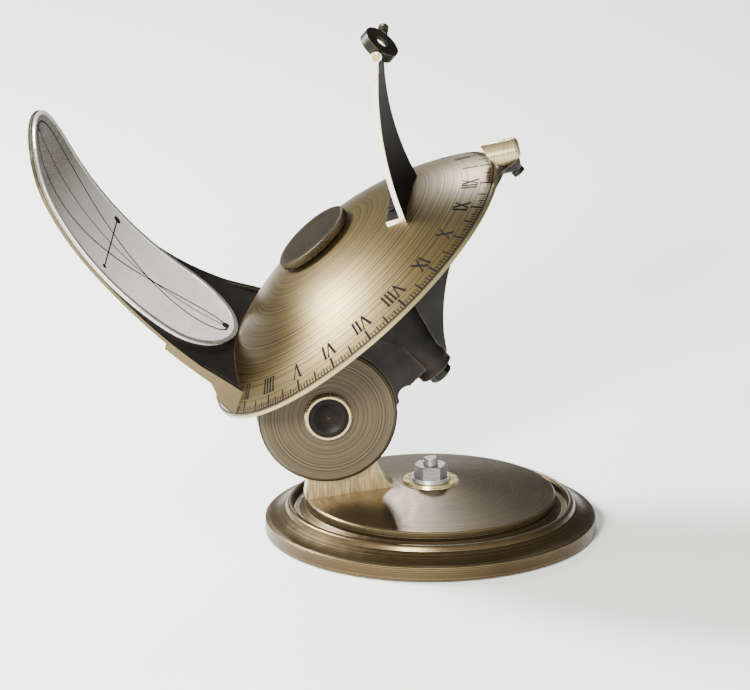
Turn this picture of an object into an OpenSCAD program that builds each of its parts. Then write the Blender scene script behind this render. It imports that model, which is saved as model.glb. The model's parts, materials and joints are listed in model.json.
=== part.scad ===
// Heliochronometer: an equatorial sun clock that turns on a polar axis.
// Millimetres, +Z up. The origin is the centre of the base's underside.
// The pole of the dial leans towards -X and the latitude hinge runs along Y.

/* [Setting] */
// Latitude the polar axis is set to at rest, in degrees
latitude = 48.8; // [42:0.2:56]
// Hour angle the dial is turned to at rest, in degrees
hour_angle = 15; // [0:1:30]

/* [Base] */
// Radius of the base rim
base_r = 82.5; // [80:0.5:90]
// Height of the upright rim of the base
base_rim_h = 7.5; // [6:0.5:9]
// Radius of the bead ring around the turntable
bead_r = 70; // [68:0.5:72]
// Height of the seat that the turntable turns on
seat_z = 16; // [14:0.5:18]
// Wall thickness of the hollow base casting
base_wall = 5; // [4:0.5:6]

/* [Turntable] */
// Radius of the turntable
table_r = 62.3; // [58:0.1:64]
// Height of the upright edge of the turntable
table_edge_h = 3.4; // [3:0.2:5]
// Height that the cone rises above that edge
cone_h = 6; // [5:0.5:8]
// Radius of the stud through base and turntable
stud_r = 3.75; // [3:0.25:4.5]
// Height that the stud stands above its nut
stud_tip = 3.6; // [2:0.2:6]
// Width of the hexagon nut across its corners
nut_w = 16.5; // [14:0.5:18]
// Height of the hexagon nut
nut_h = 6; // [5:0.5:8]
// Radius of the wide washer
washer_r = 14; // [12:0.5:15]
// Radius of the collar under the nut
collar_r = 10; // [9:0.5:11]
// Thickness of the wide washer and of the collar, each
washer_t = 1.5; // [1:0.1:2]

/* [Hinge] */
// Distance of the latitude hinge north of the base axis
hinge_x = 52.5; // [50:0.5:55]
// Height of the latitude hinge above the underside
hinge_z = 66; // [63:0.5:70]
// Radius of the hinge cheeks
cheek_r = 34.8; // [33:0.2:36]
// Thickness of each cheek
cheek_t = 8.6; // [7:0.2:10]
// Thickness of the bracket's tongue between the cheeks
tongue_t = 12; // [10:0.5:14]
// Radius of the round end of the tongue
tongue_r = 25; // [22:0.5:27]
// Radius of the hinge bolt
bolt_r = 5; // [4:0.25:6]
// Outer radius of the ring on the hinge's face
ring_r = 12; // [11:0.5:14]
// Radius of the cap nut inside that ring
cap_r = 10.2; // [8:0.2:10.4]

/* [Polar head] */
// Distance of the polar axis from the hinge
axis_offset = 53.8; // [52:0.2:56]
// Height of the dial's rim plane above the hinge, along the polar axis
rim_rise = 38.3; // [37:0.1:42]
// Length of the hub below the rim plane
hub_depth = 60.8; // [57:0.2:62]
// Outer radius of the hub's lower end
hub_r = 9.4; // [9:0.1:11]
// Outer radius of the hub's upper flange
hub_flange_r = 24; // [22:0.5:28]
// Radius of the spindle's upper journal
journal_r = 8; // [7:0.25:8.5]
// Radius of the spindle's lower journal
tail_r = 5.5; // [5:0.25:6]
// Wall of the two bushes
bush_wall = 2; // [1.5:0.1:2.2]
// Thickness of the index arm's rib
rib_t = 11; // [9:0.5:13]
// Radius of the fixed index stub
stub_r = 6.6; // [5:0.2:7.5]
// Length that the stub stands out beyond the rim
stub_out = 11.2; // [9:0.2:14]
// Downward slope of the stub against the dial plane, in degrees
stub_slope = 30; // [25:1:35]

/* [Dial] */
// Radius of the dial's rim
rim_r = 92; // [90:0.5:94]
// Height of the dome above the rim plane
dome_h = 30; // [28:0.5:32]
// Thickness of the domed shell
shell_t = 2.2; // [1.8:0.1:3]
// Depth of the rim's upright edge
rim_edge = 1.9; // [1.5:0.1:2.5]
// Radius of the milled knob at the apex
knob_r = 21; // [18:0.5:24]
// Thickness of the milled knob
knob_t = 4.4; // [4:0.1:6]

/* [Sight] */
// Tilt of the lens towards the pole at rest, in degrees
lens_tilt = 12; // [0:1:24]
// Radius of the lens ring
cell_r = 9.8; // [9.5:0.1:11.5]
// Thickness of the lens ring
cell_t = 5; // [4.6:0.1:6]
// Radius of the hole that the sun shines through
aperture_r = 2.6; // [2:0.1:3.4]
// Radius of the lens
lens_r = 6; // [5:0.1:6.6]
// Radius of the pivots that the ring tips on
pivot_r = 1.2; // [1:0.1:1.5]
// Thickness of each tine of the vane's fork
tine_t = 3; // [2.4:0.1:3.6]
// Distance of the vane's foot from the polar axis
vane_foot_x = 52.7; // [51:0.1:56]
// Half width of the vane at its foot
vane_foot_w = 24.5; // [20:0.5:27]
// Thickness of the vane
vane_t = 2.6; // [2.2:0.1:3.2]
// Radius of the vane's curve
vane_bend = 181; // [150:1:200]

/* [Time plate] */
// Radius of the plate's curve around the lens
plate_bend = 179; // [178:0.5:184]
// Distance of the plate from the polar axis, level with the lens
plate_x = 82; // [80:0.5:84]
// Gap between the plate's lower end and the dome
plate_gap = 1; // [0.6:0.1:2]
// Half of the angle that the plate spans, in degrees
plate_span = 25.1; // [24.6:0.1:25.8]
// Half width of the plate
plate_w = 34; // [30:0.5:36]
// Thickness of the plate
plate_t = 1.3; // [1:0.1:2]
// Width of the raised border
frame_w = 2.2; // [1.6:0.2:4]
// Height of the raised border
frame_h = 0.6; // [0.4:0.1:1.2]
// Thickness of the arm's sheet behind the plate
arm_t = 1.7; // [1.4:0.1:3]
// Thickness of the bar on the arm's back, above its foot
bar_t = 2.6; // [2:0.1:3.4]
// Angle below the lens where that bar starts, in degrees
bar_angle = 15; // [8:1:18]
// Width that the arm shows beside the plate
arm_edge = 0.8; // [0.6:0.1:2.4]
// Width that the arm gains on each side down to its foot
arm_flare = 22; // [16:0.5:26]
// Width of the flange along the arm's foot
foot_t = 10.6; // [9.6:0.2:11]

/* [Hidden] */
$fn = 96;

// Clearances: running fit on a radius, gap between faces that slide, gap of seated curved faces
fit = 0.05;
slide = 0.1;
seat = 0.05;
// Overshoot of a cut beyond the face it opens
cut = 1;

// Heights along the base axis
table_z = seat_z + slide;
table_top = table_z + table_edge_h;
cone_top = table_top + cone_h;
collar_z = cone_top + washer_t;
nut_z = collar_z + washer_t + slide / 2;
stud_top = nut_z + nut_h + stud_tip;
boss_r = 16;
stud_foot = 4;
stud_chamfer = 0.8;
groove_r = 65.5;
cavity_top = seat_z - base_wall;

// Hinge
washer_gap = 0.8;
cheek_in = tongue_t / 2 + washer_gap;
cheek_out = cheek_in + cheek_t;
bevel = 2.2;
boss_h = 3.2;
cap_h = boss_h - 0.4;
screw_r = 2;
head_r = 3.6;
head_h = 2.2;

// Dome sphere, and its centre below the rim plane
dome_r = (pow(rim_r, 2) + pow(dome_h, 2)) / (2 * dome_h);
dome_c = dome_h - dome_r;
rim_gap = 0.8;
stub_reach = rim_r + stub_out;
bush_top = 10;
carrier_r = 26;
carrier_z = bush_top + slide;

// Hub, in the polar frame
flange_z = -12;
lower_bush_l = 13;
spindle_nut_h = 3.6;
spindle_nut_w = 12.4;
spindle_washer_r = 7;
spindle_washer_t = 1;
spindle_tip = 0.6;
spindle_end_r = 4;
tail_end = -hub_depth - slide - spindle_washer_t - spindle_nut_h - spindle_tip;

// Fixed index: its screws stand beside the rib, in a lug under the hub's flange
arm_top = -rim_edge - 2;
stub_z = -5.7;
stub_screw_x = rim_r + 6;
lug_x = hub_flange_r + 1;
lug_y = rib_t / 2 + head_r + 0.4;
lug_z = flange_z - 5;
lug_screw_l = 15;

// Sight: the lens is the centre of the plate's curve, and the ring tips on a line through it
lens_x = plate_bend - plate_x;
plate_low_x = lens_x - plate_bend * cos(plate_span);
lens_z = sqrt(pow(dome_r, 2) - pow(plate_low_x, 2)) + dome_c + plate_gap + plate_bend * sin(plate_span);
ring_gap = 0.4;
fork_r = cell_r + 1.2;
vane_top_w = cell_r + ring_gap + tine_t;
vane_ledge = 7.4;
gusset_h = 15;
knuckle_r = 2.8;
pivot_head_r = 2.2;
pivot_depth = 2.6;
lens_edge = 1.4;
lens_bulge = 0.8;

// Frame of the head: hinge at the origin, z along the polar axis, x towards the raised side
module head_frame() {
    translate([-hinge_x, 0, hinge_z]) rotate([0, latitude - 90, 0]) children();
}

// Frame of the dial plane: the polar axis is z and the rim plane is z = 0
module polar_frame() {
    head_frame() translate([axis_offset, 0, rim_rise]) children();
}

// Frame of the alidade: x points to the lens, the time plate lies at negative x
module alidade_frame() {
    polar_frame() rotate([0, 0, -hour_angle]) children();
}

// A cylinder along Y, centred between y0 and y1
module along_y(r, y0, y1) {
    translate([0, y0, 0]) rotate([-90, 0, 0]) cylinder(r = r, h = y1 - y0);
}

// A hexagon prism with its corners broken by a cone
module hexagon(w, h) {
    intersection() {
        cylinder(d = w, h = h, $fn = 6);
        cylinder(r1 = w / 2 + h - 0.9, r2 = w / 2 - 0.9, h = h);
    }
}

// A cheese head screw that stands along z, its head above z = 0
module screw(length, shank = screw_r, head = head_r, height = head_h) {
    difference() {
        union() {
            cylinder(r = head, h = height);
            translate([0, 0, -length]) cylinder(r = shank, h = length + cut / 2);
        }
        translate([-head, -0.4, height - min(0.8, height / 2)]) cube([2 * head, 0.8, 1]);
    }
}

// The bore for such a screw
module screw_bore(length, shank = screw_r) {
    translate([0, 0, -length - seat]) cylinder(r = shank + seat, h = length + cut);
}

// Points of a cubic curve between two ends
function curve(a, b, c, d, steps = 12) = [for (i = [0:steps]) let (t = i / steps, s = 1 - t)
    s * s * s * a + 3 * s * s * t * b + 3 * s * t * t * c + t * t * t * d];

// Base

module base_plate() {
    color("#8a7646") difference() {
        rotate_extrude() polygon(concat(
            [[0, 0], [base_r - 0.8, 0], [base_r, 0.8], [base_r, base_rim_h]],
            curve([base_r - 0.8, base_rim_h + 0.6], [base_r - 5, base_rim_h + 1.4],
                [bead_r + 6, base_rim_h + 3], [bead_r + 2.4, seat_z - 3.2]),
            curve([bead_r + 1.6, seat_z - 1.4], [bead_r + 0.8, seat_z - 0.2],
                [bead_r - 1, seat_z - 0.2], [bead_r - 1.6, seat_z - 1.6], 6),
            [[bead_r - 2, seat_z - 4], [groove_r, seat_z - 4], [groove_r - 3, seat_z - 1.5],
             [table_r - 3, seat_z], [0, seat_z]]));
        difference() {
            translate([0, 0, -cut]) cylinder(r1 = base_r - base_wall - 1, r2 = base_r - base_wall - 5,
                h = base_rim_h - base_wall / 2 + cut);
            translate([0, 0, -2 * cut]) cylinder(r = boss_r, h = seat_z);
        }
        difference() {
            translate([0, 0, base_rim_h - base_wall / 2 - cut])
                cylinder(r = bead_r - base_wall - 4, h = cavity_top - base_rim_h + base_wall / 2 + cut);
            cylinder(r = boss_r, h = seat_z);
        }
        translate([0, 0, stud_foot - seat]) cylinder(r = stud_r + seat, h = seat_z);
    }
}

module centre_stud() {
    color("#5d5a52") {
        translate([0, 0, stud_foot]) cylinder(r = stud_r, h = stud_top - stud_chamfer - stud_foot);
        translate([0, 0, stud_top - stud_chamfer])
            cylinder(r1 = stud_r, r2 = stud_r - stud_chamfer, h = stud_chamfer);
    }
}

// Turntable

bush_r = 7;
// Height of the cone's surface at a radius
cone_from = washer_r + 1;
cone_to = table_r - 0.6;
function cone_z(r) = table_top + cone_h * (1 - pow(max(r - cone_from, 0) / (cone_to - cone_from), 1.15));

module turntable() {
    color("#8a7646") difference() {
        rotate_extrude() polygon(concat([[0, table_z], [table_r, table_z], [table_r, table_top - 0.6]],
            [for (i = [10:-1:0]) let (r = cone_from + (cone_to - cone_from) * i / 10) [r, cone_z(r)]],
            [[0, cone_top]]));
        translate([0, 0, table_z - cut]) cylinder(r = bush_r + seat, h = cone_top - table_z + 2 * cut);
        for (x = foot_screw_x) translate([-x, 0, 0]) {
            translate([0, 0, table_z - cut])
                cylinder(r = head_r + seat, h = foot_head_z + seat - table_z + cut);
            cylinder(r = screw_r + seat, h = cone_top);
        }
        foot_block(seat);
    }
}

module azimuth_bush() {
    color("#a5854a") translate([0, 0, table_z]) difference() {
        cylinder(r = bush_r, h = cone_top - table_z);
        translate([0, 0, -cut]) cylinder(r = stud_r + fit, h = cone_top - table_z + 2 * cut);
    }
}

module clamp_washer() {
    color("#c9b98a") translate([0, 0, cone_top]) difference() {
        cylinder(r1 = washer_r, r2 = washer_r - 0.5, h = washer_t);
        translate([0, 0, -cut]) cylinder(r = stud_r + fit, h = washer_t + 2 * cut);
    }
}

module clamp_collar() {
    color("#8f8a7c") translate([0, 0, collar_z]) difference() {
        cylinder(r1 = collar_r, r2 = collar_r - 0.4, h = washer_t);
        translate([0, 0, -cut]) cylinder(r = stud_r + fit, h = washer_t + 2 * cut);
    }
}

module clamp_nut() {
    color("#8f8a7c") translate([0, 0, nut_z]) difference() {
        hexagon(nut_w, nut_h);
        translate([0, 0, -cut]) cylinder(r = stud_r + fit, h = nut_h + 2 * cut);
    }
}

// Foot bracket

foot_back = hinge_x + 10.5;
foot_front = washer_r + 5;
foot_screw_x = [foot_front + 8, (foot_front + foot_back) / 2, foot_back - 6];
foot_w = tongue_t / 2;
foot_head_z = table_z + head_h + 0.2;

// The part of the web that stands in the turntable's slot
module foot_block(grow = 0) {
    translate([-foot_back - grow, -foot_w - grow, table_top - grow])
        cube([foot_back - foot_front + 2 * grow, 2 * (foot_w + grow), cone_h + cut]);
}

module foot_bracket() {
    color("#b9a877") difference() {
        union() {
            translate([-hinge_x, 0, hinge_z]) along_y(tongue_r, -tongue_t / 2, tongue_t / 2);
            rotate([90, 0, 0]) linear_extrude(tongue_t, center = true) polygon(concat(
                [[-foot_back, table_top], [-foot_front, table_top]],
                curve([-foot_front, cone_z(foot_front) + 1], [-hinge_x + 25, table_top + 9],
                    [-hinge_x + 24, hinge_z - 24], [-hinge_x + tongue_r - 1, hinge_z - 8]),
                [[-hinge_x, hinge_z], [-hinge_x - tongue_r + 3, hinge_z - 10]],
                curve([-hinge_x - 15, hinge_z - 22], [-hinge_x - 9.5, hinge_z - 30],
                    [-hinge_x - 8.5, table_top + 12], [-foot_back, table_top + 2], 8)));
        }
        translate([-hinge_x, 0, hinge_z]) along_y(bolt_r + fit, -tongue_t, tongue_t);
        for (x = foot_screw_x) translate([-x, 0, 0]) cylinder(r = screw_r + seat, h = table_top + 8);
    }
}

module foot_screws() {
    color("#6d675a") for (x = foot_screw_x) translate([-x, 0, foot_head_z])
        mirror([0, 0, 1]) screw(table_top + 6 - foot_head_z);
}

// Latitude hinge

module hinge_washers() {
    color("#a5854a") translate([-hinge_x, 0, hinge_z])
    for (side = [0, 1]) mirror([0, side, 0]) difference() {
        along_y(tongue_r - 4, tongue_t / 2 + slide, cheek_in - slide);
        along_y(bolt_r + fit, 0, cheek_in + cut);
    }
}

module hinge_bolt() {
    color("#5d5a52") head_frame() difference() {
        union() {
            along_y(bolt_r, -cheek_out - 1, cheek_out + nut_h + 1.4);
            along_y(bolt_r + 0.9, cheek_out - 2.4, cheek_out - 0.4);
        }
        translate([0, cheek_out + nut_h + 1.4, 0]) cube([2 * bolt_r + cut, 2.4, 1], center = true);
    }
}

module hinge_nut() {
    color("#6d675a") head_frame() translate([0, cheek_out, 0]) rotate([-90, 0, 0]) difference() {
        hexagon(nut_w, nut_h);
        translate([0, 0, -cut]) cylinder(r = bolt_r + seat, h = nut_h + 2 * cut);
    }
}

module tilt_ring() {
    color("#d8c99a") head_frame() rotate([90, 0, 0]) translate([0, 0, cheek_out]) difference() {
        union() {
            cylinder(r = ring_r, h = boss_h - 1);
            translate([0, 0, boss_h - 1]) cylinder(r1 = ring_r, r2 = ring_r - 0.8, h = 1);
        }
        translate([0, 0, -cut]) cylinder(r = cap_r + slide, h = boss_h + 2 * cut);
    }
}

module tilt_cap() {
    color("#4b4230") head_frame() rotate([90, 0, 0]) translate([0, 0, cheek_out + slide]) difference() {
        cylinder(r = cap_r, h = cap_h);
        difference() {
            translate([0, 0, cap_h + 22]) sphere(r = 23.3);
            cylinder(r1 = 1.6, r2 = 0.5, h = cap_h - 0.5);
        }
        translate([0, 0, -cut]) cylinder(r = bolt_r + fit, h = cut + 1.1);
    }
}

// Polar head

hub_profile = concat([[hub_r, -hub_depth], [hub_r, -hub_depth + 2]],
    curve([hub_r + 0.8, -hub_depth + 5], [hub_r + 2, -hub_depth + 14], [hub_r + 5, -30],
        [hub_flange_r - 5, flange_z - 3], 8),
    [[hub_flange_r, flange_z - 1], [hub_flange_r, flange_z + 2.5], [journal_r + bush_wall + 4, flange_z + 5],
     [journal_r + bush_wall + 3, bush_top - 1]]);

module hub_solid(grow = 0) {
    rotate_extrude() polygon(concat([[0, -hub_depth]], [for (p = hub_profile) [p[0] + grow, p[1]]],
        [[0, bush_top - 1]]));
}

// The places of the two screws of the index arm
module at_lug_screws() {
    for (side = [-1, 1]) translate([lug_x, side * lug_y, lug_z]) rotate([0, 90, 0]) children();
}

module polar_head() {
    color("#3b3426") polar_frame() difference() {
        union() {
            hub_solid();
            translate([-axis_offset, 0, -rim_rise]) for (side = [0, 1]) mirror([0, side, 0]) {
                along_y(cheek_r, cheek_in, cheek_out - bevel);
                translate([0, cheek_out - bevel, 0]) rotate([-90, 0, 0])
                    cylinder(r1 = cheek_r, r2 = cheek_r - bevel, h = bevel);
            }
            rotate([90, 0, 0]) linear_extrude(2 * (cheek_out - bevel), center = true) polygon([
                [-axis_offset + tongue_r, -rim_rise + 21], [-4, flange_z - 4], [-2, -hub_depth + 7],
                [-15, -hub_depth + 6], [-axis_offset + tongue_r + 3, -rim_rise - 20]]);
        }
        translate([-17.3, 0, -hub_depth + 2]) along_y(5.7, -cheek_out - cut, cheek_out + cut);
        translate([-axis_offset, 0, -rim_rise]) {
            along_y(tongue_r + 2.4, -cheek_in, cheek_in);
            along_y(bolt_r + fit, -cheek_out - cut, cheek_out + cut);
            along_y(bolt_r + 1, cheek_out - 2.5, cheek_out + cut);
        }
        translate([0, 0, -hub_depth - cut]) cylinder(r = tail_r + bush_wall, h = hub_depth + cut);
        translate([0, 0, -hub_depth + lower_bush_l]) cylinder(r = journal_r + 0.8, h = hub_depth);
        translate([0, 0, flange_z + 2]) cylinder(r = journal_r + bush_wall, h = bush_top + 20);
        at_lug_screws() screw_bore(lug_screw_l);
    }
}

module upper_bush() {
    color("#a5854a") polar_frame() difference() {
        union() {
            translate([0, 0, flange_z + 2])
                cylinder(r = journal_r + bush_wall, h = bush_top - flange_z - 2);
            translate([0, 0, bush_top - 1]) cylinder(r = journal_r + bush_wall + 2.4, h = 1);
        }
        translate([0, 0, flange_z]) cylinder(r = journal_r + fit, h = bush_top - flange_z + cut);
    }
}

module lower_bush() {
    color("#a5854a") polar_frame() translate([0, 0, -hub_depth]) difference() {
        cylinder(r = tail_r + bush_wall, h = lower_bush_l);
        translate([0, 0, -cut]) cylinder(r = tail_r + fit, h = lower_bush_l + 2 * cut);
    }
}

// Fixed index

// The sloping round bar that ends in the index stub, cut clear of the turning rim
module index_bar(length, out = 0, up = 0) {
    difference() {
        translate([stub_reach + out, 0, stub_z + up]) rotate([0, 90 + stub_slope, 0]) rotate_extrude() polygon(concat(
            [[0, -length], [stub_r, -length]],
            curve([stub_r, -2.4], [stub_r, -1], [stub_r - 1.4, 0], [stub_r - 3, 0], 6),
            [[0, 0]]));
        translate([0, 0, arm_top + 0.5]) cylinder(r = rim_r + rim_gap, h = dome_h);
    }
}

module above(z) {
    translate([0, -rim_r, z]) cube(2 * rim_r);
}

stub_screw_z = arm_top - 5.6;
stub_bar_l = 26;
arm_bar_l = 20;
// The bright stub stands higher than the arm's round end below it, and a little further out
stub_rise = 3;
stub_past_arm = 2.8;

module index_arm() {
    color("#3b3426") polar_frame() difference() {
        union() {
            rotate([90, 0, 0]) linear_extrude(rib_t, center = true) polygon(concat(
                [[4, arm_top - 14], [hub_flange_r + 10, arm_top], [stub_reach - 8, arm_top]],
                curve([rim_r - 1.5, arm_top - 2.4], [0.891 * rim_r, -0.152 * hub_depth],
                    [0.696 * rim_r, -0.304 * hub_depth], [0.478 * rim_r, -0.36 * hub_depth]),
                curve([0.47 * rim_r, -0.367 * hub_depth], [0.37 * rim_r, -0.456 * hub_depth],
                    [hub_r + 8.6, -0.69 * hub_depth], [hub_r + 1.5, -hub_depth + 4.5])));
            translate([lug_x / 2, 0, lug_z])
                cube([lug_x, 2 * (lug_y + head_r + 0.4), 2 * (head_r + 0.4)], center = true);
            difference() {
                index_bar(arm_bar_l);
                above(arm_top);
            }
        }
        hub_solid(seat);
        at_lug_screws() screw_bore(lug_x);
        translate([stub_screw_x, 0, arm_top]) screw_bore(arm_top - stub_screw_z);
        translate([stub_screw_x, 0, stub_screw_z - 2 * head_h]) cylinder(r = head_r, h = 2 * head_h);
    }
}

module index_arm_screws() {
    color("#6d675a") polar_frame() at_lug_screws() screw(lug_screw_l);
}

module index_stub() {
    color("#cdbb88") polar_frame() difference() {
        intersection() {
            index_bar(stub_bar_l, stub_past_arm, stub_rise);
            above(arm_top);
        }
        translate([stub_screw_x, 0, arm_top - cut]) cylinder(r = screw_r + seat, h = cut + 4);
    }
}

module index_stub_screw() {
    color("#6d675a") polar_frame() translate([stub_screw_x, 0, stub_screw_z - seat]) rotate([180, 0, 0])
        screw(9, head = head_r - 0.3);
}

// Dial

module polar_spindle() {
    color("#8f8a7c") polar_frame() {
        translate([0, 0, flange_z]) cylinder(r = journal_r, h = carrier_z + 12 - flange_z);
        translate([0, 0, carrier_z + 12]) cylinder(r = 5, h = dome_h + knob_t - 1.6 - carrier_z - 12);
        translate([0, 0, -hub_depth - slide]) cylinder(r = tail_r, h = hub_depth + flange_z + slide);
        translate([0, 0, tail_end]) cylinder(r = spindle_end_r, h = -hub_depth - slide - tail_end);
    }
}

module spindle_washer() {
    color("#8f8a7c") polar_frame() translate([0, 0, -hub_depth - slide - spindle_washer_t]) difference() {
        cylinder(r1 = spindle_washer_r - 0.4, r2 = spindle_washer_r, h = spindle_washer_t);
        translate([0, 0, -cut]) cylinder(r = spindle_end_r + seat, h = spindle_washer_t + 2 * cut);
    }
}

module spindle_nut() {
    color("#5d5a52") polar_frame()
        translate([0, 0, -hub_depth - slide - spindle_washer_t]) mirror([0, 0, 1]) difference() {
            hexagon(spindle_nut_w, spindle_nut_h);
            translate([0, 0, -cut]) cylinder(r = spindle_end_r + seat, h = spindle_nut_h + 2 * cut);
        }
}

module dial_carrier() {
    color("#a5854a") polar_frame() difference() {
        union() {
            translate([0, 0, carrier_z]) cylinder(r = 14, h = 40);
            translate([0, 0, carrier_z + 9]) cylinder(r = carrier_r, h = 40);
        }
        difference() {
            translate([0, 0, carrier_z - cut]) cylinder(r = carrier_r + cut, h = 60);
            translate([0, 0, dome_c]) sphere(r = dome_r - shell_t - seat, $fn = 120);
        }
        translate([0, 0, carrier_z - cut]) cylinder(r = journal_r + seat / 2, h = 12 + cut + seat / 2);
        cylinder(r = 5 + seat / 2, h = 60);
    }
}

module dial_dome() {
    color("#b7a06a") polar_frame() difference() {
        union() {
            intersection() {
                translate([0, 0, dome_c]) sphere(r = dome_r, $fn = 180);
                cylinder(r = rim_r, h = dome_h + cut, $fn = 180);
            }
            translate([0, 0, -rim_edge]) cylinder(r = rim_r, h = rim_edge, $fn = 180);
        }
        difference() {
            translate([0, 0, dome_c]) sphere(r = dome_r - shell_t, $fn = 180);
            translate([0, 0, dome_c - dome_r]) cylinder(r = 2 * rim_r, h = dome_r - dome_c);
        }
        translate([0, 0, -rim_edge - cut]) cylinder(r = rim_r - 4, h = rim_edge + cut + 0.01, $fn = 180);
        cylinder(r = 5 + seat, h = dome_h + cut);
        alidade_bores();
    }
}

module dial_knob() {
    color("#6b5a34") polar_frame() translate([0, 0, dome_h + slide]) difference() {
        union() {
            cylinder(r = knob_r - 0.5, h = 0.5);
            translate([0, 0, 0.5]) cylinder(r = knob_r, h = knob_t - 1);
            translate([0, 0, knob_t - 0.5]) cylinder(r1 = knob_r, r2 = knob_r - 0.5, h = 0.5);
        }
        translate([0, 0, -cut]) cylinder(r = 5 + fit, h = knob_t - 1.2 + cut);
    }
}

// Direction of the dome's outward normal at a place on it, and a frame that stands there
module on_dome(x, y) {
    z = sqrt(dome_r * dome_r - x * x - y * y) + dome_c;
    translate([x, y, z]) rotate([0, acos((z - dome_c) / dome_r), atan2(y, x)]) children();
}

foot_flange = 2.4;
vane_screw_y = [for (k = [-1, 0, 1]) k * 0.57 * vane_foot_w];
vane_screw_x = vane_foot_x - vane_t / 2 - vane_ledge / 2 - 0.4;
arm_screw_y = [for (k = [-3, -1, 1, 3]) k * 0.375 * plate_w];

// Bore of a small screw through a foot flange and the dome's shell
module foot_bore() {
    translate([0, 0, foot_flange]) screw_bore(foot_flange + shell_t + cut, 1.5);
}

module alidade_bores() {
    rotate([0, 0, -hour_angle]) {
        for (y = vane_screw_y) on_dome(vane_screw_x, y) foot_bore();
        for (y = arm_screw_y) on_dome(arm_screw_x(y), y) foot_bore();
    }
}

module inside_sphere(r) {
    translate([0, 0, dome_c]) sphere(r = r, $fn = 120);
}

// Sight vane

vane_foot_z = sqrt(dome_r * dome_r - vane_foot_x * vane_foot_x) + dome_c;
vane_dx = lens_x - vane_foot_x;
vane_dz = lens_z - vane_foot_z;
vane_chord = sqrt(vane_dx * vane_dx + vane_dz * vane_dz);
vane_arm = sqrt(vane_bend * vane_bend - vane_chord * vane_chord / 4);
vane_cx = (lens_x + vane_foot_x) / 2 + vane_arm * vane_dz / vane_chord;
vane_cz = (lens_z + vane_foot_z) / 2 - vane_arm * vane_dx / vane_chord;
sheet_top = lens_z - fork_r;

// Half width of the vane at a height: it narrows evenly from the foot up to the fork
function vane_half(z) = vane_top_w + (vane_foot_w - vane_top_w)
    * max(0, min(1, (sheet_top - z) / (sheet_top - vane_foot_z)));

module vane_outline(inset = 0) {
    heights = [0, vane_foot_z, sheet_top, lens_z + knuckle_r];
    rotate([90, 0, 90]) linear_extrude(2 * rim_r) polygon(concat(
        [for (z = heights) [vane_half(z) - inset, z]],
        [for (i = [3:-1:0]) [-vane_half(heights[i]) + inset, heights[i]]]));
}

module vane_sheet(inner, outer) {
    translate([vane_cx, 0, vane_cz]) difference() {
        along_y(outer, -rim_r, rim_r);
        along_y(inner, -rim_r - cut, rim_r + cut);
    }
}

module sight_vane() {
    color("#2f2a1f") alidade_frame() difference() {
        union() {
            intersection() {
                vane_sheet(vane_bend - vane_t / 2, vane_bend + vane_t / 2);
                vane_outline();
                translate([0, -rim_r, 0]) cube([2 * rim_r, 2 * rim_r, lens_z]);
            }
            intersection() {
                vane_sheet(vane_bend - vane_t / 2, vane_bend + vane_t / 2 + vane_ledge);
                vane_outline();
                inside_sphere(dome_r + foot_flange);
            }
            intersection() {
                rotate([90, 0, 0]) linear_extrude(2 * rim_r, center = true) polygon([
                    [vane_foot_x - vane_ledge, 0], [vane_foot_x + 5, 0],
                    [vane_foot_x + 7, vane_foot_z + gusset_h], [vane_foot_x + 5, vane_foot_z + gusset_h]]);
                vane_sheet(vane_bend, vane_bend + vane_t / 2 + vane_ledge);
                difference() {
                    vane_outline();
                    vane_outline(vane_t);
                }
            }
            translate([lens_x, 0, lens_z]) along_y(knuckle_r, -vane_top_w, vane_top_w);
        }
        inside_sphere(dome_r + seat);
        translate([lens_x, 0, lens_z]) {
            along_y(fork_r, -cell_r - ring_gap, cell_r + ring_gap);
            along_y(pivot_r + seat, -vane_top_w - cut, 0);
            along_y(pivot_r + fit, 0, vane_top_w + cut);
        }
        for (y = vane_screw_y) on_dome(vane_screw_x, y) foot_bore();
    }
}

module vane_screws() {
    color("#6d675a") alidade_frame() for (y = vane_screw_y) on_dome(vane_screw_x, y)
        translate([0, 0, foot_flange + seat]) screw(foot_flange + 1.6, 1.5, 2.4, 1.5);
}

// The near pivot of the ring; the far one is the knob's own pin
module pivot_screw() {
    color("#c9b98a") alidade_frame() translate([lens_x, -vane_top_w - seat, lens_z]) rotate([90, 0, 0])
        screw(vane_top_w + seat - cell_r + pivot_depth, pivot_r, pivot_head_r, 1);
}

// Frame of the ring: x is the line of sight, and the ring tips about y
module ring_frame() {
    alidade_frame() translate([lens_x, 0, lens_z]) rotate([0, -lens_tilt, 0]) children();
}

// A cylinder along the line of sight, between x0 and x1
module along_x(r, x0, x1) {
    translate([x0, 0, 0]) rotate([0, 90, 0]) cylinder(r = r, h = x1 - x0);
}

front_wall = 1.2;
pocket_x = cell_t / 2 - front_wall;
retainer_w = 1.6;
retainer_t = 1;
// The retainer meets the lens where its bore crosses the bulging back
lens_back = pocket_x - seat - lens_edge - lens_bulge * (1 - pow((lens_r - retainer_w) / lens_r, 2));

module lens_ring() {
    color("#2f2a1f") ring_frame() difference() {
        along_x(cell_r, -cell_t / 2, cell_t / 2);
        along_x(aperture_r, 0, cell_t);
        along_x(lens_r + seat, -cell_t, pocket_x);
        translate([pocket_x + 0.5, 0, 0]) rotate([0, 90, 0])
            cylinder(r1 = aperture_r, r2 = aperture_r + front_wall, h = front_wall);
        along_y(pivot_r + fit, -cell_r - cut, -cell_r + pivot_depth + slide);
        along_y(pivot_r + seat, cell_r - pivot_depth - slide, cell_r + cut);
    }
}

module lens() {
    color("#dfe7e6") ring_frame() translate([pocket_x - seat, 0, 0]) rotate([0, -90, 0])
        rotate_extrude() polygon(concat([[0, 0], [lens_r, 0]],
            [for (i = [6:-1:0]) [lens_r * i / 6, lens_edge + lens_bulge * (1 - pow(i / 6, 2))]]));
}

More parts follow.
